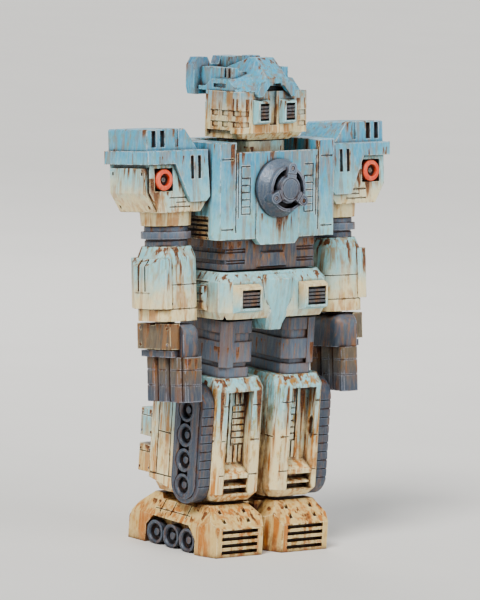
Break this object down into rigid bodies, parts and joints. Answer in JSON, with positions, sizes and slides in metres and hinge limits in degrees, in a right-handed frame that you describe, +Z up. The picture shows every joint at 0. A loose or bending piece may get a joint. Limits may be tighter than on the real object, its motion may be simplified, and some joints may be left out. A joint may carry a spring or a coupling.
{
  "type": "humanoid robot model kit",
  "caption": "Standing armoured humanoid robot model kit with turning waist, neck, shoulders, forearms and wrists, swinging legs, and track pods on the shins.",
  "frame": {"origin": "centre of the footprint on the ground plane, under the soles", "axes": "+Z up, -Y towards the robot's front, +X towards the robot's left hand"},
  "size_m": [0.0976, 0.04, 0.1519],
  "materials": {
    "blue_paint": "matt weathered light blue model paint over moulded plastic, fading to cream, with rust streaks",
    "face_paint": "matt weathered blue-grey and cream model paint",
    "cream_paint": "matt weathered cream model paint with heavy rust streaks",
    "gunmetal_paint": "semi-matt blue-grey metallic model paint with brown washes",
    "worn_steel_paint": "matt grey-brown model paint, rust-worn",
    "dark_paint": "matt dark brown-black wash",
    "orange_paint": "satin orange paint",
    "bare_plastic": "unpainted grey moulded plastic"
  },
  "bodies": {
    "pelvis": {"pelvis_shell": "blue_paint", "crotch_guard": "face_paint", "hip_vents": "dark_paint", "hip_packs": "blue_paint", "hip_axle": "bare_plastic"},
    "torso": {"waist_post": "bare_plastic", "waist_block": "worn_steel_paint", "chest_front": "blue_paint", "chest_back": "blue_paint", "torso_core": "dark_paint", "shoulder_axle": "bare_plastic", "rib_vents": "dark_paint", "chest_disc": "gunmetal_paint", "neck_post": "dark_paint"},
    "head": {"face_block": "face_paint", "eye_vents": "dark_paint", "helmet": "blue_paint", "head_rear_plate": "blue_paint"},
    "upper_arm_left": {"shoulder_box_left": "blue_paint", "shoulder_cap_left": "blue_paint", "shoulder_panel_left": "blue_paint", "lamp_ring_left": "orange_paint", "lamp_hub_left": "dark_paint"},
    "forearm_left": {"arm_rings_left": "gunmetal_paint", "arm_peg_left": "bare_plastic", "forearm_barrel_left": "blue_paint", "forearm_plate_left": "blue_paint"},
    "hand_left": {"hand_block_left": "gunmetal_paint", "hand_plate_left": "worn_steel_paint", "fingers_left": "gunmetal_paint"},
    "leg_left": {"thigh_block_left": "gunmetal_paint", "knee_pin_left": "bare_plastic", "shin_front_left": "cream_paint", "shin_rear_left": "cream_paint", "shin_boxes_left": "worn_steel_paint", "shin_track_left": "gunmetal_paint", "shin_wheels_left": "gunmetal_paint", "foot_shell_left": "cream_paint", "foot_wheels_left": "gunmetal_paint"},
    "upper_arm_right": {"shoulder_box_right": "blue_paint", "shoulder_cap_right": "blue_paint", "shoulder_panel_right": "blue_paint", "lamp_ring_right": "orange_paint", "lamp_hub_right": "dark_paint"},
    "forearm_right": {"arm_rings_right": "gunmetal_paint", "arm_peg_right": "bare_plastic", "forearm_barrel_right": "blue_paint", "forearm_plate_right": "blue_paint"},
    "hand_right": {"hand_block_right": "gunmetal_paint", "hand_plate_right": "worn_steel_paint", "fingers_right": "gunmetal_paint"},
    "leg_right": {"thigh_block_right": "gunmetal_paint", "knee_pin_right": "bare_plastic", "shin_front_right": "cream_paint", "shin_rear_right": "cream_paint", "shin_boxes_right": "worn_steel_paint", "shin_track_right": "gunmetal_paint", "shin_wheels_right": "gunmetal_paint", "foot_shell_right": "cream_paint", "foot_wheels_right": "gunmetal_paint"}
  },
  "joints": [
    {"name": "waist_turn", "type": "hinge", "parent": "pelvis", "child": "torso", "pos_m": [0, 0, 0.07], "axis": [0, 0.0767, 0.9971], "range_deg": [-12, 12]},
    {"name": "neck_turn", "type": "hinge", "parent": "torso", "child": "head", "pos_m": [0, 0.00224, 0.12519], "axis": [0, 0.0767, 0.9971], "range_deg": [-45, 45]},
    {"name": "shoulder_swing_left", "type": "hinge", "parent": "torso", "child": "upper_arm_left", "pos_m": [0.0332, 0.00345, 0.11487], "axis": [-1, 0, 0], "range_deg": [-40, 120]},
    {"name": "arm_turn_left", "type": "hinge", "parent": "upper_arm_left", "child": "forearm_left", "pos_m": [0.0332, 0.00041, 0.10013], "axis": [0, 0.1232, 0.9924], "range_deg": [-12, 30]},
    {"name": "wrist_turn_left", "type": "hinge", "parent": "forearm_left", "child": "hand_left", "pos_m": [0.0332, -0.00316, 0.07135], "axis": [0, 0.1232, 0.9924], "range_deg": [-12, 30]},
    {"name": "hip_swing_left", "type": "hinge", "parent": "pelvis", "child": "leg_left", "pos_m": [0.0125, 0.00018, 0.0724], "axis": [-1, 0, 0], "range_deg": [-10, 10]},
    {"name": "shoulder_swing_right", "type": "hinge", "parent": "torso", "child": "upper_arm_right", "pos_m": [-0.0332, 0.00345, 0.11487], "axis": [-1, 0, 0], "range_deg": [-40, 120]},
    {"name": "arm_turn_right", "type": "hinge", "parent": "upper_arm_right", "child": "forearm_right", "pos_m": [-0.0332, 0.00041, 0.10013], "axis": [0, -0.1232, -0.9924], "range_deg": [-12, 30]},
    {"name": "wrist_turn_right", "type": "hinge", "parent": "forearm_right", "child": "hand_right", "pos_m": [-0.0332, -0.00316, 0.07135], "axis": [0, -0.1232, -0.9924], "range_deg": [-12, 30]},
    {"name": "hip_swing_right", "type": "hinge", "parent": "pelvis", "child": "leg_right", "pos_m": [-0.0125, 0.00018, 0.0724], "axis": [-1, 0, 0], "range_deg": [-10, 10]}
  ]
}
